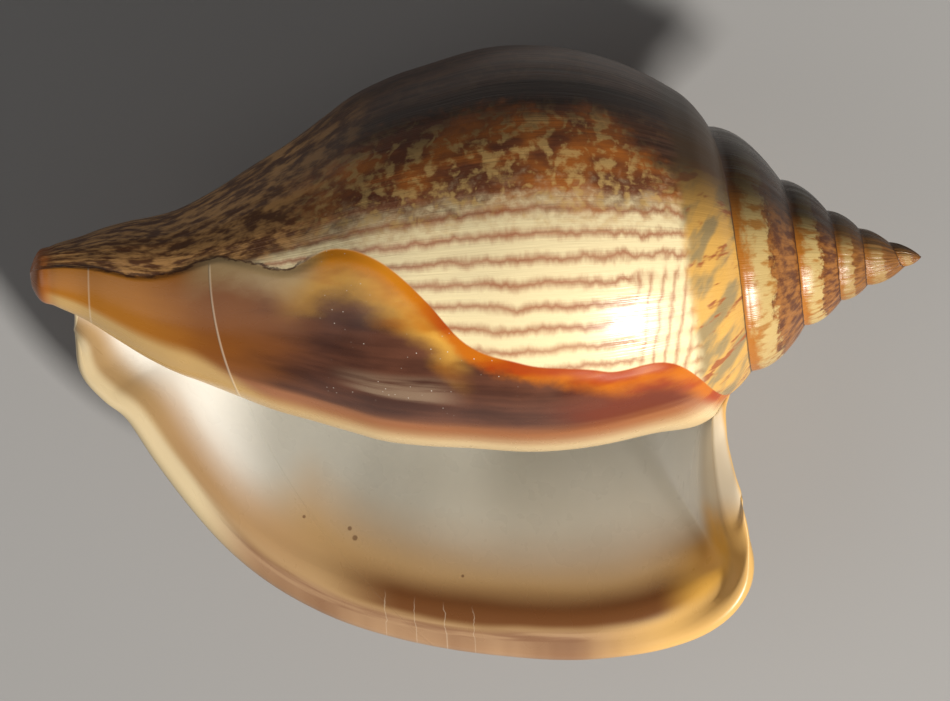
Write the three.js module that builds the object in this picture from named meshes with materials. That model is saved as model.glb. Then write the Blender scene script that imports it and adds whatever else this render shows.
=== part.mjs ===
import * as THREE from 'three';

// A strombus vanikorensis shell, 55 mm long, lying on its back with the aperture up.
// Millimetres, +Z up. The spire's tip is at the +X end, the siphon end at -X.
// A place on the shell is given by "turn" (0 faces up, 0.25 is +Y, 0.5 is down, 0.75 is -Y, where
// the lip is) and by "along", the distance from the spire's tip down the coil axis.

const LENGTH = 55;
const BODY_RADIUS = 14.09;
const BODY_GROWTH = 1.70;
const SUTURE_ALONG = 12.8;
const SUTURE_ALONG_GROWTH = 1.495;
const SUTURE_RADIUS = 8.46;
const SUTURE_RADIUS_GROWTH = 1.71;
const REFERENCE_TURN = 0.25;
const AHEAD = 0.055;
const AHEAD_PER_TURN = 0.06;
const MOST_AHEAD = 0.2;
const FIRST_TURN = -5.75;
const MOUTH_TURN = -0.25;
const LIP_TURN = 0.75;
const FLARE_TURN = 0.56;
const DEEP_TURN = 0.35;
const LAST_SUTURE = { turns: [0, 0.25, 0.5, 0.75], along: [11.57, 12.75, 13.0, 12.2] };
const JOINT_RADIUS = 8.6;
const WHORL_BULGE = 2;
const SPIRE_BEND = 0.28;
const SPIRE_BEND_ALONG = 9;
const SIPHON_BEND = 1.6;
const SIPHON_BEND_ALONG = [45.5, 54];
const NOTCH_DEPTH = 2.6;
const NOTCH_TURNS = 0.27;
const TIP_SIZE = 0.1;
const TIP_TURNS = 1.3;
const SHOULDER_SHARE = 0.05;

const WALL = 1.2;
const WALL_THINNING = 0.55;
const SHOULDER_THINNING = 0.35;
const MARGIN_EXTRA = 0.35;
const LEDGE = 1.15;
const LEDGE_SHARE = 0.035;
const CALLUS_DEPTH = 0.14;
const CALLUS_PADS = [
  { depth: 1.75, along: 41, width: 6.5 },
  { depth: 0.45, along: 53, width: 2.5 },
  { depth: 0.75, along: 14, width: 1.6 },
];
const CALLUS_REACH = 92;
const FLAT_DEPTH = 0.55;

const COLUMNS_PER_TURN = 40;
const SPIRE_ROWS = 4;
const RIM_ROWS = 4;
const ROWS = 40;

// Outline of the body whorl: share of the way from suture to siphon tip, and radius as a share of
// the widest.
const BODY_SHARE = [0, 0.013, 0.034, 0.058, 0.107, 0.160, 0.233, 0.310, 0.401, 0.464, 0.519, 0.566,
  0.616, 0.668, 0.717, 0.767, 0.817, 0.850, 0.889, 0.924, 0.967, 0.990, 1];
const BODY_OUTLINE = [0.600, 0.667, 0.740, 0.792, 0.877, 0.942, 0.991, 0.996, 0.937, 0.883, 0.810, 0.715,
  0.617, 0.530, 0.445, 0.372, 0.318, 0.282, 0.225, 0.166, 0.113, 0.075, 0];

// Edge of the outer lip, from its joint with the spire side to the siphon notch:
// share of the way, then along, y and z.
const LIP_SHARE = [0, 0.028, 0.058, 0.092, 0.124, 0.153, 0.200, 0.270, 0.345, 0.435, 0.535, 0.637,
  0.737, 0.790, 0.848, 0.922, 1];
const LIP_ALONG = [12.2, 13.0, 12.95, 12.0, 11.1, 12.15, 15.5, 20.55, 26.35, 32.3, 37.7, 42.55,
  47.2, 49.15, 50.8, 52.2, 52.4];
const LIP_Y = [-8.5, -10.6, -13.0, -16.0, -18.65, -20.55, -22.1, -22.85, -22.55, -21.5, -19.55, -16.1,
  -10.3, -7.5, -6.25, -4.6, -2.2];
const LIP_Z = [0, -0.4, -1.0, -1.8, -2.4, -2.9, -3.3, -3.6, -3.8, -4.0, -4.2, -4.3,
  -4.2, -3.9, -3.8, -3.8, -4.0];

// Edge of the callus, the glaze over the columella: along, and degrees round from the top.
const CALLUS_ALONG = [12.0, 14.0, 20.2, 25.1, 28.7, 30.4, 33.4, 36.1, 39.2, 41.7, 43.2, 45.4, 48.5,
  50.8, 55.0];
const CALLUS_EDGE = [-86, -52, -33, -28, -20, -9, 6, 12, 7, 15, 20, 16, 10, 13, 10];

function clamp(x, low, high) {
  return Math.min(Math.max(x, low), high);
}

function smooth(x) {
  const t = clamp(x, 0, 1);
  return t * t * (3 - 2 * t);
}

function bell(x, centre, width) {
  return Math.exp(-0.5 * ((x - centre) / width) ** 2);
}

function curve(x, xs, ys) {
  const last = xs.length - 1;
  const at = clamp(x, xs[0], xs[last]);
  const slope = (i) => (ys[i + 1] - ys[i]) / (xs[i + 1] - xs[i]);
  const tangent = (i) => {
    if (i === 0) return slope(0);
    if (i === last) return slope(last - 1);
    const before = xs[i] - xs[i - 1];
    const after = xs[i + 1] - xs[i];
    return (slope(i - 1) * after + slope(i) * before) / (before + after);
  };
  let i = 0;
  while (i < last - 1 && at >= xs[i + 1]) i += 1;
  const span = xs[i + 1] - xs[i];
  const t = (at - xs[i]) / span;
  return (2 * t ** 3 - 3 * t ** 2 + 1) * ys[i] + (t ** 3 - 2 * t ** 2 + t) * span * tangent(i)
    + (3 * t ** 2 - 2 * t ** 3) * ys[i + 1] + (t ** 3 - t ** 2) * span * tangent(i + 1);
}

// The spiral starts from a point at the spire's tip.
function startOfCoil(turn) {
  const grown = (turn - FIRST_TURN - 1) / TIP_TURNS;
  return grown <= 1e-6 ? 0 : TIP_SIZE + (1 - TIP_SIZE) * clamp(grown, 0, 1);
}

// The coil grew unevenly: on the aperture side it is a little ahead of a true spiral.
function turnsGrown(turn) {
  const ahead = clamp(AHEAD - AHEAD_PER_TURN * turn, 0, MOST_AHEAD);
  return turn - REFERENCE_TURN + ahead * (1 - Math.sin(2 * Math.PI * turn)) / 2;
}

function coilAlong(turn) {
  return SUTURE_ALONG * SUTURE_ALONG_GROWTH ** turnsGrown(turn) * startOfCoil(turn);
}

function spireBend(along) {
  return SPIRE_BEND * (1 - smooth(along / SPIRE_BEND_ALONG));
}

function coilRadius(turn) {
  const regular = SUTURE_RADIUS * SUTURE_RADIUS_GROWTH ** turnsGrown(turn);
  return (regular + spireBend(coilAlong(turn))) * startOfCoil(turn);
}

function sutureAlong(turn) {
  const late = curve(turn, LAST_SUTURE.turns, LAST_SUTURE.along);
  const share = smooth((turn - 0.12) / 0.13);
  return late * share + coilAlong(turn) * (1 - share);
}

function endAlong(turn) {
  return LENGTH - NOTCH_DEPTH * smooth((turn - DEEP_TURN) / NOTCH_TURNS);
}

function bodyRadius(turn, along) {
  const start = sutureAlong(turn);
  const share = (along - start) / (LENGTH - start);
  const late = smooth((turn - 0.2) / 0.4);
  const joint = coilRadius(Math.min(turn, REFERENCE_TURN)) * (1 - late) + JOINT_RADIUS * late;
  const widest = BODY_RADIUS * BODY_GROWTH ** (turn - REFERENCE_TURN);
  return widest * curve(share, BODY_SHARE, BODY_OUTLINE)
    + (joint - BODY_OUTLINE[0] * widest) * Math.exp(-share / SHOULDER_SHARE);
}

function spireRadius(turn, along) {
  const from = coilAlong(turn);
  const to = coilAlong(turn + 1);
  const down = clamp((along - from) / Math.max(to - from, 1e-9), 0, 1);
  const inner = coilRadius(turn);
  return inner + (coilRadius(turn + 1) - inner) * (1 - (1 - down) ** WHORL_BULGE);
}

function bareRadius(turn, along) {
  const body = bodyRadius(turn, along);
  if (turn >= MOUTH_TURN) return body;
  const edge = coilAlong(turn + 1);
  const inSpire = Math.min(along, edge);
  const step = spireRadius(turn, inSpire) - bodyRadius(turn, inSpire);
  const early = 1 - smooth((turn + 0.75) / 0.5);
  return body + step * early * Math.exp(-Math.max(along - edge, 0) / 2);
}

function callus(turn, along) {
  const start = sutureAlong(Math.min(turn + 1, LIP_TURN));
  const edge = curve(along, CALLUS_ALONG, CALLUS_EDGE);
  const inside = edge - turn * 360;
  const pads = CALLUS_PADS.map((pad) => pad.depth * bell(along, pad.along, pad.width));
  const pad = pads.reduce((sum, depth) => sum + depth);
  const deep = 1 - 0.85 * smooth((MOUTH_TURN - turn) / 0.2);
  const glaze = CALLUS_DEPTH * smooth(inside / 4) + pad * smooth(inside / (edge + CALLUS_REACH));
  return glaze * deep * smooth((along - start) / 1.2);
}

function radiusAt(turn, along) {
  if (along > LENGTH - 1e-6) return 0;
  return bareRadius(turn, along) + callus(turn, along);
}

function axisY(along) {
  const [from, to] = SIPHON_BEND_ALONG;
  return SIPHON_BEND * smooth((along - from) / (to - from)) - spireBend(along);
}

function place(turn, along, radius) {
  const angle = 2 * Math.PI * turn;
  return new THREE.Vector3(-along, axisY(along) + radius * Math.sin(angle), radius * Math.cos(angle));
}

function suturePoint(turn) {
  const along = sutureAlong(turn);
  return place(turn, along, radiusAt(turn - 1, along));
}

function lipEdge(share) {
  const along = curve(share, LIP_SHARE, LIP_ALONG);
  return new THREE.Vector3(-along, curve(share, LIP_SHARE, LIP_Y), curve(share, LIP_SHARE, LIP_Z));
}

// Direction in which the wall reaches the lip: up at the spire side, rolled outwards elsewhere.
function lipDirection(share) {
  const here = lipEdge(share);
  const side = lipEdge(Math.min(share + 0.01, 1)).sub(lipEdge(Math.max(share - 0.01, 0)));
  side.cross(new THREE.Vector3(0, 0, 1)).normalize();
  if (here.clone().sub(new THREE.Vector3(-28, -8, 0)).dot(side) < 0) side.negate();
  const degrees = 80 - 95 * smooth((share - 0.06) / 0.18) + 25 * smooth((share - 0.72) / 0.2);
  const lean = THREE.MathUtils.degToRad(degrees);
  return side.multiplyScalar(Math.cos(lean)).add(new THREE.Vector3(0, 0, Math.sin(lean)));
}

function coiledWall(turn, share) {
  const start = sutureAlong(turn);
  const along = start + (endAlong(turn) - start) * share;
  return place(turn, along, radiusAt(turn, along));
}

function flaredWall(turn, share) {
  const t = (turn - FLARE_TURN) / (LIP_TURN - FLARE_TURN);
  const step = 0.004;
  const from = coiledWall(FLARE_TURN, share);
  const leaving = from.clone().sub(coiledWall(FLARE_TURN - step, share));
  leaving.multiplyScalar((LIP_TURN - FLARE_TURN) / step);
  const to = lipEdge(share);
  const arriving = lipDirection(share);
  arriving.multiplyScalar(from.distanceTo(to) * (0.75 - 0.35 * smooth((share - 0.8) / 0.2)));
  return from.multiplyScalar(2 * t ** 3 - 3 * t ** 2 + 1)
    .add(leaving.multiplyScalar(t ** 3 - 2 * t ** 2 + t))
    .add(to.multiplyScalar(3 * t ** 2 - 2 * t ** 3))
    .add(arriving.multiplyScalar(t ** 3 - t ** 2));
}

// Outer face of the last turn. Its upper edge lies on the whorl before it.
function outerWall(turn, share) {
  const wall = turn > FLARE_TURN ? flaredWall : coiledWall;
  const lift = suturePoint(turn).sub(wall(turn, 0));
  const fade = clamp(1 - share / 0.12, 0, 1) ** 2;
  return wall(turn, share).add(lift.multiplyScalar(fade));
}

function foot(turn) {
  const along = sutureAlong(turn) + LEDGE;
  return place(turn, along, radiusAt(turn - 1, along));
}

// Inner face of the last turn, which starts on the whorl before it, a wall's thickness further on.
function innerWall(turn, share) {
  const open = (turn - DEEP_TURN) / (LIP_TURN - DEEP_TURN);
  if (share >= 1 && open <= 0) return outerWall(turn, 1);
  const at = LEDGE_SHARE + (1 - LEDGE_SHARE) * share;
  const near = Math.min(at, 0.995);
  const step = 0.004;
  const back = Math.min(turn + step, LIP_TURN);
  const across = outerWall(back, near).sub(outerWall(back - 2 * step, near));
  const down = outerWall(turn, near + step).sub(outerWall(turn, near - step));
  const inwards = down.cross(across).normalize();
  const outside = outerWall(turn, at);
  const along = -outside.x;
  const y = outside.y - axisY(along);
  const angle = Math.atan2(y, outside.z) / (2 * Math.PI);
  const before = (angle < 0 ? angle + 1 : angle) - 1;
  const room = Math.max(Math.hypot(y, outside.z) - radiusAt(before, along), 0);
  const margin = smooth((open - 0.55) / 0.4) * smooth(share / 0.2) * smooth((0.85 - share) / 0.2);
  const wanted = WALL - WALL_THINNING * smooth((share - 0.68) / 0.3)
    - SHOULDER_THINNING * smooth(1 - share / 0.3) + MARGIN_EXTRA * margin;
  let thickness = Math.min(wanted, 0.45 * room);
  if (share >= 1) thickness *= smooth(open * 1.6);
  const inside = outside.add(inwards.multiplyScalar(thickness));
  const blend = smooth(share / 0.045);
  return foot(turn).multiplyScalar(1 - blend).add(inside.multiplyScalar(blend));
}

const corners = [];
const faces = [];

function addGrid(rowsOfPoints, flipped) {
  const first = corners.length;
  const wide = rowsOfPoints[0].length;
  rowsOfPoints.forEach((row) => corners.push(...row));
  for (let i = 0; i + 1 < rowsOfPoints.length; i += 1) {
    for (let j = 0; j + 1 < wide; j += 1) {
      const a = first + i * wide + j;
      const b = a + wide;
      if (flipped) faces.push([a, a + 1, b + 1], [a, b + 1, b]);
      else faces.push([a, b + 1, a + 1], [a, b, b + 1]);
    }
  }
}

function steps(count, make) {
  return Array.from({ length: count + 1 }, (unused, i) => make(i));
}

// Rows of the last turn: the first few match the spire's rows, the next few the lip's thickness.
const mouthStart = sutureAlong(MOUTH_TURN);
const jointShare = (sutureAlong(LIP_TURN) - mouthStart) / (LENGTH - mouthStart);
const ledgeShare = (sutureAlong(LIP_TURN) + LEDGE - mouthStart) / (LENGTH - mouthStart);
const rowsBeyond = ROWS - SPIRE_ROWS - RIM_ROWS;

function beyondLedge(i) {
  return 0.45 * (i / rowsBeyond) + 0.55 * smooth(i / rowsBeyond);
}

const shares = [
  ...steps(SPIRE_ROWS - 1, (i) => jointShare * i / SPIRE_ROWS),
  ...steps(RIM_ROWS - 1, (i) => jointShare + (ledgeShare - jointShare) * i / RIM_ROWS),
  ...steps(rowsBeyond, (i) => ledgeShare + (1 - ledgeShare) * beyondLedge(i)),
];

const spireColumns = Math.round((MOUTH_TURN - FIRST_TURN) * COLUMNS_PER_TURN);
const spire = steps(spireColumns, (i) => {
  const turn = FIRST_TURN + i / COLUMNS_PER_TURN;
  const top = sutureAlong(turn);
  const bottom = sutureAlong(turn + 1);
  const upperEdge = suturePoint(turn);
  const lift = upperEdge.clone().sub(place(turn, top, radiusAt(turn, top)));
  return steps(SPIRE_ROWS, (j) => {
    const down = j / SPIRE_ROWS;
    const along = top + (bottom - top) * down;
    const radius = along < 1e-6 ? 0 : radiusAt(turn, along);
    return place(turn, along, radius).add(lift.clone().multiplyScalar((1 - down) ** 2));
  });
});
addGrid(spire, false);

const lastTurn = steps(COLUMNS_PER_TURN, (i) => {
  const turn = MOUTH_TURN + i / COLUMNS_PER_TURN;
  return shares.map((share) => outerWall(turn, share));
});
addGrid(lastTurn, false);

// The whorl before, seen through the aperture, as far in as the hollow goes.
const deepColumns = Math.round((LIP_TURN - DEEP_TURN) * COLUMNS_PER_TURN);
const columella = steps(deepColumns, (i) => {
  const turn = DEEP_TURN - 1 + i * (MOUTH_TURN + 1 - DEEP_TURN) / deepColumns;
  const start = sutureAlong(turn + 1) + LEDGE;
  return steps(rowsBeyond, (j) => {
    const along = start + (LENGTH - start) * beyondLedge(j);
    return place(turn, along, radiusAt(turn, along));
  });
});
addGrid(columella, false);

const inner = steps(deepColumns, (i) => {
  const turn = DEEP_TURN + i * (LIP_TURN - DEEP_TURN) / deepColumns;
  return shares.map((share) => innerWall(turn, share));
});
addGrid(inner, true);

const outerDeep = steps(deepColumns, (i) => {
  const turn = DEEP_TURN + i * (LIP_TURN - DEEP_TURN) / deepColumns;
  return outerWall(turn, 1);
});

// Rounded rim, along the lip and then back along the siphon notch.
const rimOuter = [...lastTurn[COLUMNS_PER_TURN], ...outerDeep.slice(0, -1).reverse()];
const rimInner = [...inner[deepColumns], ...inner.slice(0, -1).reverse().map((column) => column[ROWS])];
const joint = lastTurn[0].slice(SPIRE_ROWS, SPIRE_ROWS + RIM_ROWS + 1);
const rim = rimOuter.map((outside, i) => {
  const inside = rimInner[i];
  const next = rimOuter[Math.min(i + 1, rimOuter.length - 1)];
  const before = rimOuter[Math.max(i - 1, 0)];
  const across = inside.clone().sub(outside);
  const bulge = across.clone().cross(next.clone().sub(before)).normalize();
  const middle = outside.clone().add(inside).multiplyScalar(0.5);
  return steps(RIM_ROWS, (j) => {
    const angle = Math.PI * j / RIM_ROWS;
    const point = middle.clone().addScaledVector(across, -0.5 * Math.cos(angle));
    point.addScaledVector(bulge, 0.5 * across.length() * Math.sin(angle));
    const nearJoint = clamp(1 - i / 4, 0, 1) ** 2;
    return point.lerp(joint[j], nearJoint * (i === 0 || (j > 0 && j < RIM_ROWS) ? 1 : 0));
  });
});
addGrid(rim, true);

// Inner end of the hollow.
const deepInner = inner[0];
const deepColumella = columella[0];
const capStart = corners.length;
corners.push(...deepInner, ...deepColumella);
let left = 0;
let right = 0;
while (left < deepInner.length - 1 || right < deepColumella.length - 1) {
  const rightIndex = capStart + deepInner.length + right;
  const leftIsNext = left < deepInner.length - 1
    && (right === deepColumella.length - 1 || deepInner[left + 1].x >= deepColumella[right + 1].x);
  if (leftIsNext) {
    faces.push([capStart + left, rightIndex, capStart + left + 1]);
    left += 1;
  } else {
    faces.push([capStart + left, rightIndex, rightIndex + 1]);
    right += 1;
  }
}

// Lying on its back, the shell is worn to a small flat spot where it rests.
const lowest = Math.min(...corners.map((corner) => corner.z)) + FLAT_DEPTH;
corners.forEach((corner) => {
  corner.z = Math.max(corner.z, lowest);
});

// Corners that meet are made one, and faces with no area are left out.
const numberOf = new Map();
const positions = [];
const welded = corners.map((corner) => {
  const key = corner.toArray().map((value) => Math.round(value * 1000)).join();
  if (!numberOf.has(key)) {
    numberOf.set(key, positions.length / 3);
    positions.push(...corner.toArray());
  }
  return numberOf.get(key);
});
const indices = faces.map((face) => face.map((corner) => welded[corner]))
  .filter(([a, b, c]) => a !== b && b !== c && c !== a);

const geometry = new THREE.BufferGeometry();
geometry.setAttribute('position', new THREE.Float32BufferAttribute(positions, 3));
geometry.setIndex(indices.flat());
geometry.computeBoundingBox();
const box = geometry.boundingBox;
geometry.translate(-(box.min.x + box.max.x) / 2, -(box.min.y + box.max.y) / 2, -box.min.z);
geometry.computeVertexNormals();

const shell = new THREE.Mesh(geometry, new THREE.MeshStandardMaterial({
  color: 0xd9b585,
  roughness: 0.32,
  metalness: 0,
}));
shell.name = 'shell';

const group = new THREE.Group();
group.add(shell);

export default group;
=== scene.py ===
import math

import bpy
import numpy as np
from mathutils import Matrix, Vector


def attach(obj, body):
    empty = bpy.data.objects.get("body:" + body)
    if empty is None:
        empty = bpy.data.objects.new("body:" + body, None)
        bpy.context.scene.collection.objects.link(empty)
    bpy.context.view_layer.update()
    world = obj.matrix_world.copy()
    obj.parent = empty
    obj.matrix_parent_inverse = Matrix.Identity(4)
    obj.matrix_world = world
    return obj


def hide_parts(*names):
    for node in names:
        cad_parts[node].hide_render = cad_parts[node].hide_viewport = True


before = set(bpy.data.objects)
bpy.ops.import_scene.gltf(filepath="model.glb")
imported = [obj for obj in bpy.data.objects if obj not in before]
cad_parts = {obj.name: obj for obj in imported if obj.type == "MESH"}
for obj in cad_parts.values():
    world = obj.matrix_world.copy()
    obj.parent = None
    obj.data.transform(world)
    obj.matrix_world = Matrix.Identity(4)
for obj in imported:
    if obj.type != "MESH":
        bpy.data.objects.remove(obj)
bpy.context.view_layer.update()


# The camera looks straight down into the aperture, as the photograph does.
# It is turned so that the spire points a little up and to the right.
MM = 0.001
CAMERA_HEIGHT = 300 * MM
VIEW_CENTRE = (-0.3 * MM, 0.44 * MM)
VIEW_WIDTH = 58.6 * MM
AXIS_TILT = math.radians(3)
AXIS_HEIGHT = 15.67 * MM
SENSOR_WIDTH = 36

camera_data = bpy.data.cameras.new("camera")
camera_data.sensor_width = SENSOR_WIDTH
camera_data.lens = SENSOR_WIDTH * (CAMERA_HEIGHT - AXIS_HEIGHT) / VIEW_WIDTH
camera_data.clip_start = 0.01
camera = bpy.data.objects.new("camera", camera_data)
camera.location = (*VIEW_CENTRE, CAMERA_HEIGHT)
camera.rotation_euler = (0, 0, -AXIS_TILT)
bpy.context.scene.collection.objects.link(camera)
bpy.context.scene.camera = camera
bpy.context.scene.view_settings.view_transform = "Standard"


# The shell is one piece of hard, glossy shell that the animal grew as a widening wall coiled round an axis.
# A glassy coat, the callus, covers the columella, and the lip of the last turn flares outwards.
# A place is given by its turn (0 faces up, 0.25 is +Y, 0.75 is the lip) and its distance along the axis.
LENGTH = 55
BODY_RADIUS = 14.09
BODY_GROWTH = 1.70
SUTURE_ALONG = 12.8
SUTURE_ALONG_GROWTH = 1.495
SUTURE_RADIUS = 8.46
SUTURE_RADIUS_GROWTH = 1.71
REFERENCE_TURN = 0.25
AHEAD = 0.055
AHEAD_PER_TURN = 0.06
MOST_AHEAD = 0.2
FIRST_TURN = -5.75
MOUTH_TURN = -0.25
LIP_TURN = 0.75
FLARE_TURN = 0.56
DEEP_TURN = 0.35
LAST_SUTURE_TURNS = [0, 0.25, 0.5, 0.75]
LAST_SUTURE_ALONG = [11.57, 12.75, 13.0, 12.2]
LATE_SUTURE_FROM = 0.12
LATE_SUTURE_TURNS = 0.13
JOINT_RADIUS = 8.6
WHORL_BULGE = 2
SPIRE_BEND = 0.28
SPIRE_BEND_ALONG = 9
SIPHON_BEND = 1.6
SIPHON_BEND_ALONG = [45.5, 54]
NOTCH_DEPTH = 2.6
NOTCH_TURNS = 0.27
TIP_SIZE = 0.1
TIP_TURNS = 1.3
SHOULDER_SHARE = 0.05
WALL = 1.2
WALL_THINNING = 0.55
SHOULDER_THINNING = 0.35
MARGIN_EXTRA = 0.35
LEDGE = 1.15
LEDGE_SHARE = 0.035
CALLUS_DEPTH = 0.14
CALLUS_PADS = [(1.75, 41, 6.5), (0.45, 53, 2.5), (0.75, 14, 1.6)]
CALLUS_REACH = 92
RIDGE = 0.3
RIDGE_TURN = 0.734
RIDGE_TURNS = 0.005

BODY_SHARE = [0, 0.013, 0.034, 0.058, 0.107, 0.160, 0.233, 0.310, 0.401, 0.464, 0.519, 0.566,
              0.616, 0.668, 0.717, 0.767, 0.817, 0.850, 0.889, 0.924, 0.967, 0.990, 1]
BODY_OUTLINE = [0.600, 0.667, 0.740, 0.792, 0.877, 0.942, 0.991, 0.996, 0.937, 0.883, 0.810, 0.715,
                0.617, 0.530, 0.445, 0.372, 0.318, 0.282, 0.225, 0.166, 0.113, 0.075, 0]
LIP_SHARE = [0, 0.028, 0.058, 0.092, 0.124, 0.153, 0.200, 0.270, 0.345, 0.435, 0.535, 0.637,
             0.737, 0.790, 0.848, 0.922, 1]
LIP_ALONG = [12.2, 13.0, 12.95, 12.0, 11.1, 12.15, 15.5, 20.55, 26.35, 32.3, 37.7, 42.55,
             47.2, 49.15, 50.8, 52.2, 52.4]
LIP_Y = [-8.5, -10.6, -13.0, -16.0, -18.65, -20.55, -22.1, -22.85, -22.55, -21.5, -19.55, -16.1,
         -10.3, -7.5, -6.25, -4.6, -2.2]
APERTURE_MIDDLE = [-28, -8, 0]
LIP_Z = [0, -0.4, -1.0, -1.8, -2.4, -2.9, -3.3, -3.6, -3.8, -4.0, -4.2, -4.3,
         -4.2, -3.9, -3.8, -3.8, -4.0]
CALLUS_ALONG = [12.0, 14.0, 20.2, 25.1, 28.7, 30.4, 33.4, 36.1, 39.2, 41.7, 43.2, 45.4, 48.5, 50.8, 55.0]
CALLUS_EDGE = [-86, -52, -33, -28, -20, -9, 6, 12, 7, 15, 20, 16, 10, 13, 10]


def smooth(x):
    t = np.clip(x, 0, 1)
    return t * t * (3 - 2 * t)


def bell(x, centre, width):
    return np.exp(-0.5 * ((x - centre) / width) ** 2)


def curve(x, xs, ys):
    xs = np.array(xs, float)
    ys = np.array(ys, float)
    slope = np.diff(ys) / np.diff(xs)
    before = np.diff(xs)[:-1]
    after = np.diff(xs)[1:]
    inner = (slope[:-1] * after + slope[1:] * before) / (before + after)
    tangent = np.concatenate([slope[:1], inner, slope[-1:]])
    at = np.clip(x, xs[0], xs[-1])
    i = np.clip(np.searchsorted(xs, at, side="right") - 1, 0, len(xs) - 2)
    span = xs[i + 1] - xs[i]
    t = (at - xs[i]) / span
    return ((2 * t**3 - 3 * t**2 + 1) * ys[i] + (t**3 - 2 * t**2 + t) * span * tangent[i]
            + (3 * t**2 - 2 * t**3) * ys[i + 1] + (t**3 - t**2) * span * tangent[i + 1])


def start_of_coil(turn):
    grown = (turn - FIRST_TURN - 1) / TIP_TURNS
    return np.where(grown <= 1e-6, 0.0, TIP_SIZE + (1 - TIP_SIZE) * np.clip(grown, 0, 1))


def turns_grown(turn):
    ahead = np.clip(AHEAD - AHEAD_PER_TURN * turn, 0, MOST_AHEAD)
    return turn - REFERENCE_TURN + ahead * (1 - np.sin(2 * np.pi * turn)) / 2


def coil_along(turn):
    return SUTURE_ALONG * SUTURE_ALONG_GROWTH ** turns_grown(turn) * start_of_coil(turn)


def spire_bend(along):
    return SPIRE_BEND * (1 - smooth(along / SPIRE_BEND_ALONG))


def coil_radius(turn):
    regular = SUTURE_RADIUS * SUTURE_RADIUS_GROWTH ** turns_grown(turn)
    return (regular + spire_bend(coil_along(turn))) * start_of_coil(turn)


def suture_along(turn):
    late = curve(turn, LAST_SUTURE_TURNS, LAST_SUTURE_ALONG)
    share = smooth((turn - LATE_SUTURE_FROM) / LATE_SUTURE_TURNS)
    return late * share + coil_along(turn) * (1 - share)


def end_along(turn):
    return LENGTH - NOTCH_DEPTH * smooth((turn - DEEP_TURN) / NOTCH_TURNS)


def body_radius(turn, along):
    start = suture_along(turn)
    share = (along - start) / (LENGTH - start)
    late = smooth((turn - 0.2) / 0.4)
    joint = coil_radius(np.minimum(turn, REFERENCE_TURN)) * (1 - late) + JOINT_RADIUS * late
    widest = BODY_RADIUS * BODY_GROWTH ** (turn - REFERENCE_TURN)
    return (widest * curve(share, BODY_SHARE, BODY_OUTLINE)
            + (joint - BODY_OUTLINE[0] * widest) * np.exp(-share / SHOULDER_SHARE))


def spire_radius(turn, along):
    start = coil_along(turn)
    end = coil_along(turn + 1)
    down = np.clip((along - start) / np.maximum(end - start, 1e-9), 0, 1)
    inner = coil_radius(turn)
    return inner + (coil_radius(turn + 1) - inner) * (1 - (1 - down) ** WHORL_BULGE)


def bare_radius(turn, along):
    body = body_radius(turn, along)
    edge = coil_along(turn + 1)
    in_spire = np.minimum(along, edge)
    step = spire_radius(turn, in_spire) - body_radius(turn, in_spire)
    early = 1 - smooth((turn + 0.75) / 0.5)
    spire = body + step * early * np.exp(-np.maximum(along - edge, 0) / 2)
    return np.where(turn >= MOUTH_TURN, body, spire)


def inside_callus(turn, along):
    return curve(along, CALLUS_ALONG, CALLUS_EDGE) - turn * 360


def callus(turn, along):
    start = suture_along(np.minimum(turn + 1, LIP_TURN))
    inside = inside_callus(turn, along)
    pad = sum(depth * bell(along, centre, width) for depth, centre, width in CALLUS_PADS)
    deep = 1 - 0.85 * smooth((MOUTH_TURN - turn) / 0.2)
    reach = curve(along, CALLUS_ALONG, CALLUS_EDGE) + CALLUS_REACH
    glaze = CALLUS_DEPTH * smooth(inside / 4) + pad * smooth(inside / reach)
    return glaze * deep * smooth((along - start) / 1.2)


def radius_at(turn, along):
    return np.where(along > LENGTH - 1e-6, 0.0, bare_radius(turn, along) + callus(turn, along))


def axis_y(along):
    start, end = SIPHON_BEND_ALONG
    return SIPHON_BEND * smooth((along - start) / (end - start)) - spire_bend(along)


def place(turn, along, radius):
    angle = 2 * np.pi * turn
    return np.stack([-along, axis_y(along) + radius * np.sin(angle), radius * np.cos(angle)], -1)


def suture_point(turn):
    along = suture_along(turn)
    return place(turn, along, radius_at(turn - 1, along))


def lip_edge(share):
    return np.stack([-curve(share, LIP_SHARE, LIP_ALONG), curve(share, LIP_SHARE, LIP_Y),
                     curve(share, LIP_SHARE, LIP_Z)], -1)


def unit(vector):
    return vector / np.maximum(np.linalg.norm(vector, axis=-1, keepdims=True), 1e-12)


def lip_direction(share):
    here = lip_edge(share)
    step = lip_edge(np.minimum(share + 0.01, 1)) - lip_edge(np.maximum(share - 0.01, 0))
    side = unit(np.cross(step, [0, 0, 1]))
    away = np.sum((here - APERTURE_MIDDLE) * side, -1, keepdims=True)
    side = np.where(away < 0, -side, side)
    lean = np.radians(80 - 95 * smooth((share - 0.06) / 0.18) + 25 * smooth((share - 0.72) / 0.2))
    return side * np.cos(lean)[..., None] + np.array([0, 0, 1]) * np.sin(lean)[..., None]


def coiled_wall(turn, share):
    start = suture_along(turn)
    along = start + (end_along(turn) - start) * share
    return place(turn, along, radius_at(turn, along))


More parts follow.
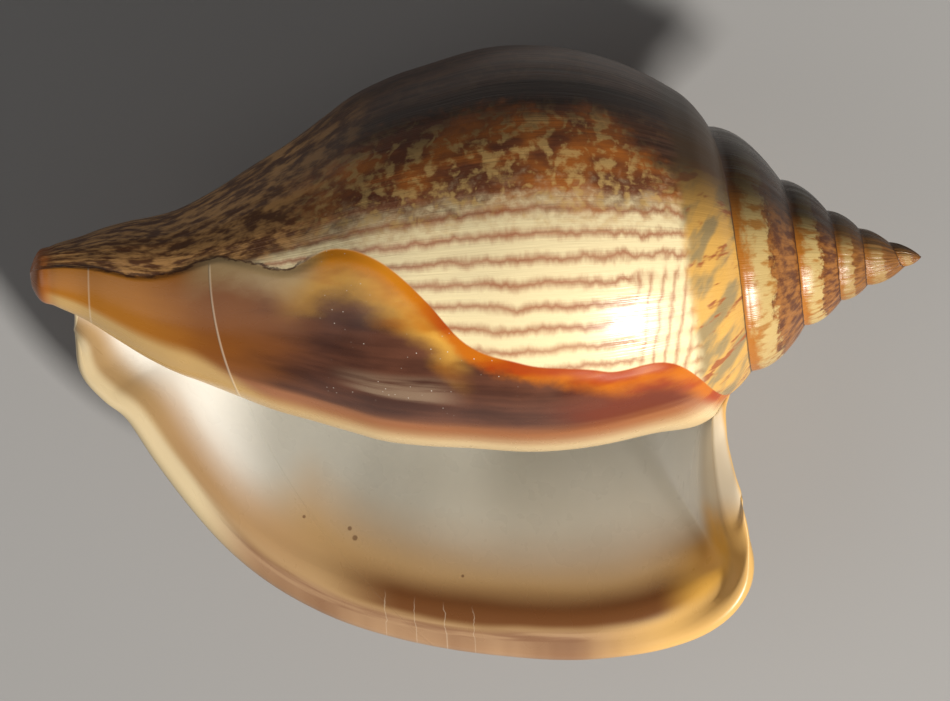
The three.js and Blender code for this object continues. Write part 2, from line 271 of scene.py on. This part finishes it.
def flared_wall(turn, share):
    t = ((turn - FLARE_TURN) / (LIP_TURN - FLARE_TURN))[..., None]
    step = 0.004
    leaves = np.full_like(turn, FLARE_TURN)
    start = coiled_wall(leaves, share)
    leaving = (start - coiled_wall(leaves - step, share)) * (LIP_TURN - FLARE_TURN) / step
    end = lip_edge(share)
    reach = np.linalg.norm(end - start, axis=-1) * (0.75 - 0.35 * smooth((share - 0.8) / 0.2))
    arriving = lip_direction(share) * reach[..., None]
    return ((2 * t**3 - 3 * t**2 + 1) * start + (t**3 - 2 * t**2 + t) * leaving
            + (3 * t**2 - 2 * t**3) * end + (t**3 - t**2) * arriving)


def bare_wall(turn, share):
    flared = (turn > FLARE_TURN)[..., None]
    return np.where(flared, flared_wall(turn, share), coiled_wall(turn, share))


def outer_wall(turn, share):
    lift = suture_point(turn) - bare_wall(turn, np.zeros_like(share))
    fade = np.clip(1 - share / 0.12, 0, 1) ** 2
    return bare_wall(turn, share) + lift * fade[..., None]


def foot(turn):
    along = suture_along(turn) + LEDGE
    return place(turn, along, radius_at(turn - 1, along))


def inner_wall(turn, share):
    opened = (turn - DEEP_TURN) / (LIP_TURN - DEEP_TURN)
    at = LEDGE_SHARE + (1 - LEDGE_SHARE) * share
    near = np.minimum(at, 0.995)
    step = 0.004
    back = np.minimum(turn + step, LIP_TURN)
    across = outer_wall(back, near) - outer_wall(back - 2 * step, near)
    down = outer_wall(turn, near + step) - outer_wall(turn, near - step)
    inwards = unit(np.cross(down, across))
    outside = outer_wall(turn, at)
    along = -outside[..., 0]
    y = outside[..., 1] - axis_y(along)
    z = outside[..., 2]
    before = np.mod(np.arctan2(y, z) / (2 * np.pi), 1) - 1
    room = np.maximum(np.hypot(y, z) - radius_at(before, along), 0)
    margin = smooth((opened - 0.55) / 0.4) * smooth(share / 0.2) * smooth((0.85 - share) / 0.2)
    thinner = WALL_THINNING * smooth((share - 0.68) / 0.3) + SHOULDER_THINNING * smooth(1 - share / 0.3)
    ridge = RIDGE * bell(turn, RIDGE_TURN, RIDGE_TURNS)
    wanted = WALL - thinner + (MARGIN_EXTRA + ridge) * margin
    thickness = np.minimum(wanted, 0.45 * room)
    thickness = thickness * np.where(share >= 1, smooth(opened * 1.6), 1)
    inside = outside + inwards * thickness[..., None]
    blend = smooth(share / 0.045)[..., None]
    wall = foot(turn) * (1 - blend) + inside * blend
    closed = ((share >= 1) & (opened <= 0))[..., None]
    return np.where(closed, outer_wall(turn, share), wall)


# Fine grid of the same form, with finer steps than the CAD solid's.
COLUMNS_PER_TURN = 200
SPIRE_ROWS = 10
RIM_ROWS = 10
ROWS = 170
SOFT_ROWS = 60
OUTSIDE_ROUNDS = 20
INSIDE_ROUNDS = 45
JOINT_STEPS = 16
FLAT_DEPTH = 0.55
WELD = 1e-4

mouth_start = suture_along(np.array(MOUTH_TURN))
to_tip = LENGTH - mouth_start
joint_share = (suture_along(np.array(LIP_TURN)) - mouth_start) / to_tip
ledge_share = joint_share + LEDGE / to_tip
rows_beyond = ROWS - SPIRE_ROWS - RIM_ROWS
eased = np.arange(rows_beyond + 1) / rows_beyond
beyond_ledge = 0.45 * eased + 0.55 * smooth(eased)
shares = np.concatenate([
    joint_share * np.arange(SPIRE_ROWS) / SPIRE_ROWS,
    joint_share + (ledge_share - joint_share) * np.arange(RIM_ROWS) / RIM_ROWS,
    ledge_share + (1 - ledge_share) * beyond_ledge,
])

points = []
quads = []
painted = {name: [] for name in ("turn", "along", "glaze", "lip", "inner", "below_suture", "above_suture")}
FAR = 50


def length_from_end(grid):
    steps = np.linalg.norm(np.diff(grid, axis=0), axis=-1)[::-1]
    return np.concatenate([np.zeros((1, grid.shape[1])), np.cumsum(steps, axis=0)])[::-1]


def add_grid(grid, flipped, **values):
    first = sum(len(part) for part in points)
    tall, wide = grid.shape[:2]
    points.append(grid.reshape(-1, 3))
    for name, parts in painted.items():
        parts.append(np.broadcast_to(values[name], (tall, wide)).reshape(-1))
    a = first + (np.arange(tall - 1)[:, None] * wide + np.arange(wide - 1)).reshape(-1)
    b = a + wide
    quads.append(np.stack([a, a + 1, b + 1, b] if flipped else [a, b, b + 1, a + 1], -1))


def grown(turn, along):
    return inside_callus(turn, along) * np.pi / 180 * radius_at(turn, along)


def soften(grid, first_row, last_row, rounds):
    row = np.arange(grid.shape[1])
    softness = smooth((row - first_row) / 6) * smooth((last_row - row) / 20)
    for _ in range(rounds):
        bend = grid[:, :-2] + grid[:, 2:] - 2 * grid[:, 1:-1]
        grid[:, 1:-1] += 0.25 * bend * softness[1:-1, None]
    return grid


spire_columns = round((MOUTH_TURN - FIRST_TURN) * COLUMNS_PER_TURN)
spire_turns = FIRST_TURN + np.arange(spire_columns + 1) / COLUMNS_PER_TURN
turn, down = np.meshgrid(spire_turns, np.arange(SPIRE_ROWS + 1) / SPIRE_ROWS, indexing="ij")
width = suture_along(turn + 1) - suture_along(turn)
along = suture_along(turn) + width * down
spire_radii = np.where(along < 1e-6, 0, radius_at(turn, along))
top = suture_along(spire_turns)
lift = suture_point(spire_turns) - place(spire_turns, top, radius_at(spire_turns, top))
spire = place(turn, along, spire_radii) + lift[:, None] * ((1 - down) ** 2)[..., None]
add_grid(spire, False, turn=turn, along=along, glaze=-FAR, lip=FAR, inner=0,
         below_suture=width * down, above_suture=width * (1 - down))

turns = MOUTH_TURN + np.arange(COLUMNS_PER_TURN + 1) / COLUMNS_PER_TURN
turn, share = np.meshgrid(turns, shares, indexing="ij")
body = outer_wall(turn, share)
lip_part = smooth((turn - FLARE_TURN) / 0.1)[..., None]
softer = soften(body.copy(), SPIRE_ROWS + RIM_ROWS + 1, SOFT_ROWS, OUTSIDE_ROUNDS)
body = body * (1 - lip_part) + softer * lip_part
along = -body[..., 0]
front = smooth((0.2 - turn) / 0.1)
add_grid(body, False, turn=turn, along=along, glaze=grown(turn, along) * front - FAR * (1 - front),
         lip=length_from_end(body), inner=0, below_suture=along - suture_along(turn), above_suture=FAR)

deep_columns = round((LIP_TURN - DEEP_TURN) * COLUMNS_PER_TURN)
deep_turns = np.linspace(DEEP_TURN, LIP_TURN, deep_columns + 1)
turn, eased = np.meshgrid(deep_turns - 1, beyond_ledge, indexing="ij")
start = suture_along(turn + 1) + LEDGE
along = start + (LENGTH - start) * eased
columella = place(turn, along, radius_at(turn, along))
add_grid(columella, False, turn=turn, along=along, glaze=grown(turn, along), lip=FAR, inner=0,
         below_suture=FAR, above_suture=FAR)

turn, share = np.meshgrid(deep_turns, shares, indexing="ij")
inner = soften(inner_wall(turn, share), 2, SOFT_ROWS, INSIDE_ROUNDS)
add_grid(inner, True, turn=turn, along=-inner[..., 0], glaze=FAR, lip=length_from_end(inner), inner=1,
         below_suture=FAR, above_suture=FAR)

outer_deep = outer_wall(deep_turns, np.ones_like(deep_turns))
rim_outer = np.concatenate([body[-1], outer_deep[-2::-1]])
rim_inner = np.concatenate([inner[-1], inner[-2::-1, -1]])
rim_turn = np.concatenate([np.full(ROWS + 1, LIP_TURN), deep_turns[-2::-1]])
beside = np.arange(len(rim_outer))
along_rim = rim_outer[np.minimum(beside + 1, beside[-1])] - rim_outer[np.maximum(beside - 1, 0)]
across = rim_inner - rim_outer
bulge = unit(np.cross(across, along_rim))
angle = np.linspace(0, np.pi, RIM_ROWS + 1)
thick = np.linalg.norm(across, axis=-1)[:, None, None]
rim = ((rim_outer + rim_inner)[:, None] / 2 - across[:, None] * np.cos(angle)[:, None] / 2
       + bulge[:, None] * np.sin(angle)[:, None] * thick / 2)
joint = body[0, SPIRE_ROWS:SPIRE_ROWS + RIM_ROWS + 1]
near_joint = (np.clip(1 - beside / JOINT_STEPS, 0, 1) ** 2)[:, None, None] * np.ones((1, RIM_ROWS + 1, 1))
near_joint[1:, [0, -1]] = 0
rim = rim * (1 - near_joint) + joint * near_joint
add_grid(rim, True, turn=rim_turn[:, None], along=-rim[..., 0], glaze=FAR, lip=0,
         inner=np.arange(RIM_ROWS + 1) / RIM_ROWS, below_suture=FAR, above_suture=FAR)

# Inner end of the hollow, a strip between two edges with different counts of corners.
deep_inner = inner[0]
deep_columella = columella[0]
first = sum(len(part) for part in points)
points.append(np.concatenate([deep_inner, deep_columella]))
for name, parts in painted.items():
    filling = {"turn": DEEP_TURN, "inner": 1}.get(name, FAR)
    parts.append(np.full(len(deep_inner) + len(deep_columella), float(filling)))
cap = []
left = right = 0
while left < len(deep_inner) - 1 or right < len(deep_columella) - 1:
    across_strip = first + len(deep_inner) + right
    left_is_next = left < len(deep_inner) - 1 and (
        right == len(deep_columella) - 1 or deep_inner[left + 1, 0] >= deep_columella[right + 1, 0])
    if left_is_next:
        cap.append([first + left, across_strip, first + left + 1, first + left + 1])
        left += 1
    else:
        cap.append([first + left, across_strip, across_strip + 1, across_strip + 1])
        right += 1
quads.append(np.array(cap))

# Lying on its back, the shell is worn to a small flat spot where it rests.
points = np.concatenate(points)
quads = np.concatenate(quads)
lowest = points[:, 2].min() + FLAT_DEPTH
points[:, 2] = np.maximum(points[:, 2], lowest)
low, high = points.min(0), points.max(0)
points -= [(low[0] + high[0]) / 2, (low[1] + high[1]) / 2, low[2]]
axis_row_y = -(low[1] + high[1]) / 2

_, first_of, number = np.unique(np.round(points / WELD).astype(np.int64), axis=0,
                                return_index=True, return_inverse=True)
number = number.reshape(-1)
faces = []
kept = []
for quad in quads:
    ring = [quad[i] for i in range(4) if number[quad[i]] != number[quad[i - 1]]]
    if len({number[corner] for corner in ring}) == len(ring) >= 3:
        faces.append([number[corner] for corner in ring])
        kept.extend(ring)

mesh = bpy.data.meshes.new("shell_surface")
mesh.from_pydata(points[first_of] * MM, [], faces)
for name, parts in painted.items():
    values = np.concatenate(parts)[kept].astype(np.float32)
    mesh.attributes.new(name, "FLOAT", "CORNER").data.foreach_set("value", values)
mesh.shade_smooth()
mesh.update()
shell = bpy.data.objects.new("shell_surface", mesh)
bpy.context.scene.collection.objects.link(shell)

# Turns are multiplied by this to be roughly millimetres round the shell.
ROUND = 75


class Wire:
    def __init__(self, tree, socket=None):
        self.tree = tree
        self.socket = socket

    def add(self, kind, settings=None, inputs=None, output=0):
        node = self.tree.nodes.new(kind)
        for name, value in (settings or {}).items():
            setattr(node, name, value)
        for name, value in (inputs or {}).items():
            if isinstance(value, Wire):
                self.tree.links.new(value.socket, node.inputs[name])
            else:
                node.inputs[name].default_value = value
        return Wire(self.tree, None if output is None else node.outputs[output])

    def math(self, operation, *values):
        return self.add("ShaderNodeMath", {"operation": operation}, dict(enumerate(values)))

    def __add__(self, other):
        return self.math("ADD", self, other)

    def __sub__(self, other):
        return self.math("SUBTRACT", self, other)

    def __rsub__(self, other):
        return self.math("SUBTRACT", other, self)

    def __mul__(self, other):
        return self.math("MULTIPLY", self, other)

    def __truediv__(self, other):
        return self.math("DIVIDE", self, other)

    def __abs__(self):
        return self.math("ABSOLUTE", self)

    __radd__ = __add__
    __rmul__ = __mul__

    def rise(self, low, high):
        limits = {"Value": self, "From Min": low, "From Max": high}
        return self.add("ShaderNodeMapRange", {"interpolation_type": "SMOOTHSTEP"}, limits)

    def stripe(self, half_width, blur):
        nearest = abs(self.math("FRACT", self + 0.5) - 0.5)
        return nearest.rise(half_width + blur, half_width - blur)

    def between(self, first, second):
        return self.add("ShaderNodeMix", {"data_type": "RGBA"}, {0: self, 6: first, 7: second}, 2)


def paint(red, green, blue):
    linear = [((c / 255 + 0.055) / 1.055) ** 2.4 for c in (red, green, blue)]
    return (*linear, 1)


# Low growth ridges that run along the axis and follow each other round the turns.
shell_paint = bpy.data.materials.new("shell")
shell_paint.use_nodes = True
growth_tree = bpy.data.node_groups.new("growth_ridges", "GeometryNodeTree")
growth_tree.interface.new_socket("Shell", in_out="INPUT", socket_type="NodeSocketGeometry")
RIDGE_SEED = 30
growth_sizes = {"Ridge height": 0.14 * MM, "Ridge gap": 1.6, "Ridge length": 22.0}
growth_inputs = {name: growth_tree.interface.new_socket(name, in_out="INPUT", socket_type="NodeSocketFloat")
                 for name in growth_sizes}
growth_tree.interface.new_socket("Shell", in_out="OUTPUT", socket_type="NodeSocketGeometry")
ridges = Wire(growth_tree)
given = growth_tree.nodes.new("NodeGroupInput").outputs
plain_shell, ridge_height, ridge_gap, ridge_length = (Wire(growth_tree, socket) for socket in list(given)[:4])


def stored(name):
    return ridges.add("GeometryNodeInputNamedAttribute", inputs={"Name": name})


height = ridges.add("ShaderNodeSeparateXYZ", inputs={0: ridges.add("GeometryNodeInputPosition")}, output=2)
bare = stored("glaze").rise(0, -0.6) * stored("inner").rise(0.05, 0) * height.rise(0, 0.5 * MM)
where = ridges.add("ShaderNodeCombineXYZ", inputs={0: stored("along") / ridge_length,
                                                    1: stored("turn") * ROUND / ridge_gap, 2: RIDGE_SEED})
swell = ridges.add("ShaderNodeTexNoise", inputs={"Vector": where, "Scale": 1, "Detail": 1})
outwards = ridges.add("GeometryNodeInputNormal")
step_out = ridges.add("ShaderNodeVectorMath", {"operation": "SCALE"},
                      {0: outwards, "Scale": (swell - 0.5) * bare * ridge_height})
ridged = ridges.add("GeometryNodeSetPosition", inputs={"Geometry": plain_shell, "Offset": step_out})
ridged = ridges.add("GeometryNodeRealizeInstances", inputs={"Geometry": ridged})
ridged = ridges.add("GeometryNodeSetMaterial", inputs={"Geometry": ridged, "Material": shell_paint})
ridges.add("NodeGroupOutput", inputs={"Shell": ridged}, output=None)

growing = shell.modifiers.new("growth_ridges", "NODES")
growing.node_group = growth_tree
for name, growth_size in growth_sizes.items():
    growing[growth_inputs[name].identifier] = growth_size
seen = shell.evaluated_get(bpy.context.evaluated_depsgraph_get())
mesh = bpy.data.meshes.new_from_object(seen)
shell.modifiers.remove(growing)
shell.data = mesh

gloss = shell_paint.node_tree.nodes["Principled BSDF"]
nodes = Wire(shell_paint.node_tree)


def painted_value(name):
    return nodes.add("ShaderNodeAttribute", {"attribute_name": name}, output=2)


def noise(x, y, size, detail=2, roughness=0.5, seed=0):
    where = nodes.add("ShaderNodeCombineXYZ", inputs={0: x, 1: y, 2: seed})
    values = {"Vector": where, "Scale": 1 / size, "Detail": detail, "Roughness": roughness}
    return nodes.add("ShaderNodeTexNoise", inputs=values)


def cells(x, y, size, seed=0):
    where = nodes.add("ShaderNodeCombineXYZ", inputs={0: x, 1: y, 2: seed})
    return nodes.add("ShaderNodeTexVoronoi", inputs={"Vector": where, "Scale": 1 / size})


turn = painted_value("turn")
along = painted_value("along")
glaze = painted_value("glaze")
lip = painted_value("lip")
inside = painted_value("inner")
below_suture = painted_value("below_suture")
above_suture = painted_value("above_suture")
round_it = turn * ROUND
place_mm = nodes.add("ShaderNodeVectorMath", {"operation": "SCALE"},
                     {0: nodes.add("ShaderNodeTexCoord", output=3), "Scale": 1 / MM})
across_axis = nodes.add("ShaderNodeSeparateXYZ", inputs={0: place_mm}, output=1) - axis_row_y

# The lines and mottling are pigment laid down as the shell grew.
# Last turn, outside: cream with lines along the axis, then a net of spots, then a dark back, its brown
# deepened on the upper side by painted shade.
CREAM = paint(252, 234, 186)
LINE = paint(172, 108, 76)
LINE_GAP = 0.0187
FIRST_LINE = 0.0077
BAR_GAP = 0.74
BAR_SLANT = 14
slow = noise(along, round_it, 6, seed=1) - 0.5
kinks = noise(along, round_it * 0.4, 0.75, 3, 0.6, seed=2) - 0.5
kink_size = 0.55 + 0.55 * along.rise(22, 17)
line_phase = (turn - FIRST_LINE) / LINE_GAP + slow * 0.6 + kinks * kink_size
strength = 0.7 + 0.5 * noise(along, round_it, 2.2, 3, seed=3)
lines = line_phase.stripe(0.15, 0.24) * strength
bars = (along / BAR_GAP + turn * BAR_SLANT + kinks * 1.1).stripe(0.16, 0.20)
in_bars = along.rise(18.6, 17.6) * (turn + slow * 0.03).rise(0.002, -0.012) * along.rise(14.2, 15.2)
lines = lines * (1 - in_bars * 0.8) + bars * in_bars * 0.65
front = lines.between(CREAM, LINE)

net = noise(along * 0.9, round_it, 0.55, 3, 0.55, seed=4)
tents = noise(along + abs(noise(along, round_it, 2, 1, seed=6) - 0.5) * 5, round_it * 0.5, 0.7, 1, seed=5)
spots = (net * 0.6 + tents * 0.4).rise(0.47, 0.62) * 0.66
ground_cloud = noise(along * 0.6, round_it, 2.0, 3, seed=7)
net_ground = ground_cloud.rise(0.38, 0.62).between(paint(178, 104, 42), paint(112, 64, 40))
netted = spots.between(net_ground, paint(220, 184, 116))
into_net = (turn + (net - 0.5) * 0.06 + slow * 0.03).rise(0.026, 0.072)
growth = noise(along * 0.05, round_it, 0.55, 3, 0.6, seed=8)
# The back's dark ground is partly the shell's own brown and partly painted shade.
back_ground = growth.rise(0.35, 0.65).between(paint(56, 33, 20), paint(94, 63, 46))
back = (spots * 0.3).between(back_ground, paint(130, 98, 64))
# A near-black line across the upper side of the back is a painted shadow.
painted_shadow_line = (turn + slow * 0.02).rise(0.125, 0.148) * turn.rise(0.172, 0.155) * along.rise(40, 34)
back = (painted_shadow_line * 0.75).between(back, paint(34, 18, 10))
# Towards the spire the dark back starts closer to the front: painted shade on the upper side beside the
# suture.
into_back = (turn + (net - 0.5) * 0.05 + 0.06 * along.rise(20, 14)).rise(0.10, 0.15)
underside = (lines * 0.35).between((growth * 0.5).between(netted, back_ground), paint(112, 66, 40))
back = (turn + slow * 0.05).rise(0.24, 0.34).between(back, underside)
last_turn = into_back.between(into_net.between(front, netted), back)

# Towards the siphon the ground darkens, and beside the suture lies an amber band with grey clouds.
blotches = noise(along * 0.8, round_it, 1.1, 3, 0.6, seed=24)
siphon_ground = blotches.rise(0.40, 0.64).between(paint(98, 60, 32), paint(198, 148, 90))
into_siphon = (along + slow * 9 - 26 * turn.rise(0.06, -0.04)).rise(32, 41)
last_turn = into_siphon.between(last_turn, siphon_ground)
streaks = noise(along * 1.4 + round_it * 0.55, round_it * 0.5, 1.7, 3, seed=9)
amber = streaks.rise(0.38, 0.58).between(paint(162, 140, 98), paint(226, 176, 92))
flecks = noise(along + round_it * 0.8, round_it, 1.3, 3, seed=10)
amber = flecks.rise(0.57, 0.66).between(amber, paint(168, 100, 56))
# On the upper side the amber band is darkened: painted shade.
amber_with_painted_shade = (turn.rise(0.0, 0.11) * turn.rise(0.42, 0.28)).between(amber, paint(72, 52, 32))
by_suture = (below_suture + slow * 1.2 + kinks * 0.6).rise(3.6, 2.7)
last_turn = by_suture.between(last_turn, amber_with_painted_shade)

# Spire: gold beside the lower suture, cream, then brown clouds up to the upper suture.
share_down = below_suture / (below_suture + above_suture + 0.001)
rough_share = share_down + (noise(along * 1.5, round_it * 0.5, 0.9, 4, 0.65, seed=11) - 0.5) * 0.55
cream_cloud = noise(along, round_it, 1.0, 3, seed=12)
cream_spire = cream_cloud.rise(0.48, 0.66).between(paint(202, 174, 114), paint(174, 122, 58))
brown_cloud = noise(along * 2, round_it, 1.2, 4, 0.6, seed=13)
brown_spire = brown_cloud.rise(0.36, 0.64).between(paint(166, 108, 50), paint(100, 56, 30))
spire_paint = rough_share.rise(0.42, 0.50).between(brown_spire, cream_spire)
spire_paint = rough_share.rise(0.72, 0.94).between(spire_paint, paint(180, 112, 36))
# The upper side of each spire whorl is painted near black: painted shade over the whorls' brown.
painted_shade_turn = turn.math("FRACT", turn + 0.25)
spire_paint = (painted_shade_turn.rise(0.25, 0.36) * painted_shade_turn.rise(0.76, 0.52) * 0.92).between(spire_paint, paint(34, 20, 11))
old = turn.rise(-2.4, -3.4)
spire_paint = (old * 0.55).between(spire_paint, paint(138, 94, 48))
outside = turn.rise(-0.27, -0.24).between(spire_paint, last_turn)
suture_line = below_suture.rise(0.12, 0.04)
outside = (suture_line * 0.85).between(outside, paint(72, 44, 28))

# Callus, a glassy coat: chocolate in the middle, amber towards the siphon, orange along its edge.
edge_noise = noise(along, round_it, 1.1, 4, 0.6, seed=14) - 0.5
from_edge = glaze + edge_noise * 0.9
streak = noise(along * 0.12, round_it * 1.3, 1.6, 4, 0.55, seed=15)
cloud = noise(along * 0.5, round_it, 2.4, 3, seed=16)
chocolate = (streak * 0.5 + cloud * 0.5).rise(0.36, 0.66).between(paint(70, 40, 30), paint(108, 66, 48))
coat = (along + cloud * 4).rise(15.0, 18).between(paint(190, 120, 76), paint(114, 46, 20))
coat = (along + cloud * 5).rise(22, 27).between(coat, chocolate)
coat = (along + cloud * 4 + turn * 14).rise(37.5, 44).between(coat, paint(140, 82, 30))
coat = (along + cloud * 2).rise(44, 51).between(coat, paint(184, 118, 36))
# A grey-lilac patch in the chocolate is a painted sheen, a painted reflection on the glassy coat.
painted_sheen = along.rise(28, 31) * along.rise(37, 34) * turn.rise(-0.135, -0.118) * turn.rise(-0.090, -0.106)
coat = (painted_sheen * streak.rise(0.4, 0.6) * 0.7).between(coat, paint(150, 128, 106))
near_edge = (from_edge + cloud * 3).rise(6.0, 2.8) * (along + cloud * 3).rise(29, 32) * along.rise(40.5, 36.5)
honey = cloud.rise(0.34, 0.58).between(paint(204, 130, 38), paint(238, 178, 74))
coat = near_edge.between(coat, honey)
rosy = (turn + (streak - 0.5) * 0.03).rise(-0.145, -0.168)
coat = (rosy * along.rise(46, 40) * 0.85).between(coat, paint(172, 112, 74))
pale_edge = (turn + (streak - 0.5) * 0.01 - 0.055 * along.rise(40, 46)).rise(-0.166, -0.206)
pale_paint = along.rise(33, 42).between(paint(228, 200, 152), paint(206, 168, 106))
coat = pale_edge.between(coat, pale_paint)
coat = turn.rise(-0.235, -0.27).between(coat, paint(238, 232, 218))
orange = from_edge.rise(1.6 + 1.2 * along.rise(24, 18), 0.5) * along.rise(37.5, 36)
orange_paint = cloud.rise(0.4, 0.6).between(paint(176, 68, 4), paint(206, 112, 14))
orange_paint = along.rise(29, 33).between(orange_paint, paint(240, 150, 16))
coat = orange.between(coat, orange_paint)
beige = from_edge.rise(2.6, 0.4) * along.rise(36.0, 38.5) * along.rise(46, 43) * 0.7
coat = beige.between(coat, along.rise(45, 48).between(paint(206, 180, 132), paint(206, 136, 60)))
SCRATCH_ALONG = 43.6
SCRATCH_TOP = 0.62
SCRATCH_SLANT = 0.011
SCRATCH_CURVE = 0.0218
SECOND_SCRATCH_ALONG = 51.2
SECOND_SCRATCH_SLANT = 0.04
scratch_y = SCRATCH_TOP - across_axis
scratch = abs(along - SCRATCH_ALONG + SCRATCH_SLANT * scratch_y + SCRATCH_CURVE * scratch_y * scratch_y)
scratch = scratch.rise(0.10, 0.02) * glaze.rise(0.2, 0.8)
second = abs(along - SECOND_SCRATCH_ALONG - SECOND_SCRATCH_SLANT * scratch_y)
second = second.rise(0.08, 0.02) * scratch_y.rise(4.2, 3.0)
coat = (scratch * 0.38 + second * 0.3).between(coat, paint(248, 234, 208))
specks = cells(along, round_it, 0.45, seed=17).rise(0.12, 0.05)
speckled = cloud.rise(0.46, 0.56) * along.rise(24, 27) * along.rise(38, 36) * turn.rise(-0.15, -0.12) * 0.8
coat = (specks * speckled).between(coat, paint(236, 226, 214))
dark_line = abs(from_edge).rise(0.16, 0.02) * along.rise(36.5, 38.5) * 0.85
coated = glaze.rise(-0.08, 0.08)
surface = coated.between(outside, coat)
surface = (dark_line * coated.math("GREATER_THAN", glaze, -20)).between(surface, paint(72, 40, 24))
surface = along.rise(53, 54.4).between(surface, paint(158, 92, 40))

# Inside: glossy white, then tan, a brown band and a rosy margin out to the golden edge of the lip.
to_lip = lip + (noise(along * 0.3, lip, 3, 2, seed=18) - 0.5) * 0.8
white_cloud = noise(along * 0.5, round_it * 0.3, 8, 1, seed=19)
white = white_cloud.rise(0.3, 0.7).between(paint(240, 238, 230), paint(232, 229, 219))
# From the middle of the hollow towards the siphon the white is painted grey: painted shade.
white = (along.rise(28, 36) * 0.9).between(white, paint(178, 176, 168))
# At the spire end and near the siphon the white is lifted to near white: painted light, where light falls on
# and through the thin wall.
painted_glow = along.rise(30, 19) + along.rise(40, 45)
white = painted_glow.between(white, paint(250, 248, 242))
bottom = 1 - along.rise(21, 14) * across_axis.rise(-18, -14.5)
tan_reach = to_lip * (1 + 1.6 * along.rise(38, 44))
pearl = (tan_reach.rise(9.5, 3.2) * bottom).between(white, paint(184, 150, 104))
band = to_lip.rise(0.5, 1.2) * to_lip.rise(4.2, 1.9) * along.rise(39, 33) * along.rise(12, 15)
pearl = (band * 0.95).between(pearl, paint(108, 62, 26))
tan_spot = to_lip.rise(0.3, 1.2) * to_lip.rise(4.5, 2) * along.rise(36, 41) * along.rise(49, 46)
pearl = (tan_spot * 0.5).between(pearl, paint(190, 152, 112))
gold_corner = along.rise(17.5, 13.5) * to_lip.rise(5, 2) * across_axis.rise(-14.0, -15.5)
pearl = (gold_corner * 0.9).between(pearl, paint(246, 190, 88))
margin_lines = noise(along * 0.06, lip, 0.35, 3, seed=20)
margin = margin_lines.rise(0.35, 0.65).between(paint(146, 108, 80), paint(180, 144, 110))
margin = along.rise(23, 16).between(margin, paint(226, 180, 108))
margin = along.rise(42, 46).between(margin, paint(238, 216, 172))
pearl = to_lip.rise(1.0, 0.3).between(pearl, margin)
spire_side = along.rise(15.5, 13.5) * across_axis.rise(-16.5, -14) * to_lip.rise(6, 1)
pearl = spire_side.between(pearl, paint(240, 226, 200))
crack = (along * 0.55 + noise(along, lip, 1.1, 3, seed=21) * 0.4).stripe(0.010, 0.014)
cracked = along.rise(27, 29) * along.rise(36, 34) * lip.rise(2.2, 1.4)
pearl = (crack * cracked * 0.3).between(pearl, paint(246, 232, 208))

# Four specks of dirt, each with its place along and across the axis and its radius.
DOTS = [(39.0, -14.4, 0.10), (36.2, -15.3, 0.13), (35.9, -15.9, 0.16), (29.3, -18.6, 0.09)]
dots = 0
for dot_along, dot_across, radius in DOTS:
    off_along = along - dot_along
    off_across = across_axis - dot_across
    away = off_along * off_along + off_across * off_across
    dots = dots + away.rise(radius * radius * 1.6, radius * radius * 0.5)
pearl = (dots * 0.7).between(pearl, paint(96, 62, 40))
surface = inside.rise(0.02, 0.1).between(surface, pearl)
lip_edge_mask = lip.rise(0.5, 0.1) * inside.rise(0.62, 0.40)
lip_edge_paint = along.rise(30, 38).between(paint(222, 176, 98), paint(232, 208, 160))
surface = (lip_edge_mask * 0.9).between(surface, lip_edge_paint)

nodes.tree.links.new(surface.socket, gloss.inputs["Base Color"])
gloss_noise = noise(along, round_it, 2, 3, seed=22)
roughness = 0.22 + 0.12 * gloss_noise + 0.1 * into_back * (1 - inside)
nodes.tree.links.new(roughness.socket, gloss.inputs["Roughness"])
gloss.inputs["IOR"].default_value = 1.5
growth_lines = noise(along * 0.04, round_it, 0.22, 3, 0.6, seed=23) * (1 - coated) * (1 - inside)
ripple = growth_lines + scratch * 0.6
bump = nodes.add("ShaderNodeBump", inputs={"Height": ripple, "Strength": 0.35, "Distance": 0.08 * MM})
nodes.tree.links.new(bump.socket, gloss.inputs["Normal"])

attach(shell, "root")
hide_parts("shell")

# The floor is a plain, pale, matt sheet that the shell lies on.
# It is one flat face, wide enough to fill the view from every side.
FLOOR_REACH = 2
floor_mesh = bpy.data.meshes.new("floor")
floor_corners = [(-FLOOR_REACH, -FLOOR_REACH, 0), (FLOOR_REACH, -FLOOR_REACH, 0),
                 (FLOOR_REACH, FLOOR_REACH, 0), (-FLOOR_REACH, FLOOR_REACH, 0)]
floor_mesh.from_pydata(floor_corners, [], [(0, 1, 2, 3)])
floor = bpy.data.objects.new("floor", floor_mesh)
bpy.context.scene.collection.objects.link(floor)
floor_paint = bpy.data.materials.new("floor")
floor_paint.use_nodes = True
matt = floor_paint.node_tree.nodes["Principled BSDF"]
matt.inputs["Base Color"].default_value = (0.40, 0.40, 0.405, 1)
matt.inputs["Roughness"].default_value = 0.9
floor_mesh.materials.append(floor_paint)


# The lights are a small key on the right of the lip side, as low as the sun in the photograph,
# and a weak, wide fill from the siphon's side, with a dim even sky.
def add_light(name, place_m, size, power, colour):
    data = bpy.data.lights.new(name, "AREA")
    data.size = size
    data.energy = power
    data.color = colour
    light = bpy.data.objects.new(name, data)
    light.location = place_m
    light.rotation_euler = (-Vector(place_m)).to_track_quat("-Z", "Y").to_euler()
    bpy.context.scene.collection.objects.link(light)


add_light("key", (0.245, -0.30, 0.305), 0.05, 3.0, (1, 0.95, 0.87))
add_light("fill", (-0.42, -0.10, 0.42), 0.4, 0.45, (1, 0.95, 0.9))
world = bpy.data.worlds.new("world")
world.use_nodes = True
sky = world.node_tree.nodes["Background"]
sky.inputs["Color"].default_value = (0.86, 0.85, 0.83, 1)
sky.inputs["Strength"].default_value = 0.12
bpy.context.scene.world = world
